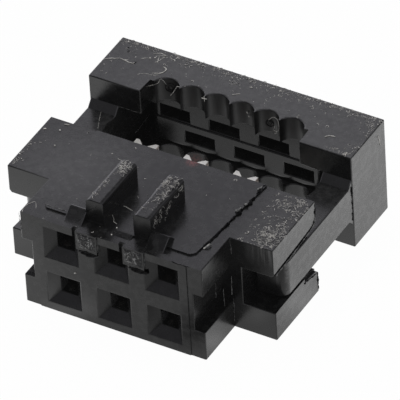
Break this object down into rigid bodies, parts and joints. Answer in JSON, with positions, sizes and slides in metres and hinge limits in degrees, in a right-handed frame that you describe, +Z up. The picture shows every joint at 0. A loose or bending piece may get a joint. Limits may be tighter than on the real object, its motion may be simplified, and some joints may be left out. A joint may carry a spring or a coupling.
{
  "type": "idc socket",
  "caption": "Black insulation-displacement socket for ribbon cable: keyed housing with rows of pin funnels, forked contacts and a sliding cable cover, shown open.",
  "frame": {"origin": "middle of the box, on the surface that the socket lies on", "axes": "+X along the contact rows, +Y from the mating face to the cover, +Z up through the housing's thickness"},
  "size_m": [0.0106, 0.01, 0.0049],
  "materials": {
    "black_plastic": "semi-gloss black glass-filled moulding with pale specks on its edges",
    "tinned_contact": "bright tin plating on stamped copper alloy strip"
  },
  "bodies": {
    "housing": {"housing": "black_plastic", "contact_upper_1": "tinned_contact", "contact_upper_2": "tinned_contact", "contact_upper_3": "tinned_contact", "contact_lower_1": "tinned_contact", "contact_lower_2": "tinned_contact", "contact_lower_3": "tinned_contact"},
    "cover": {"cover": "black_plastic"}
  },
  "joints": [
    {"name": "cover_press", "type": "slide", "parent": "housing", "child": "cover", "axis": [0, -1, 0], "range_m": [0, 0.00259]}
  ]
}
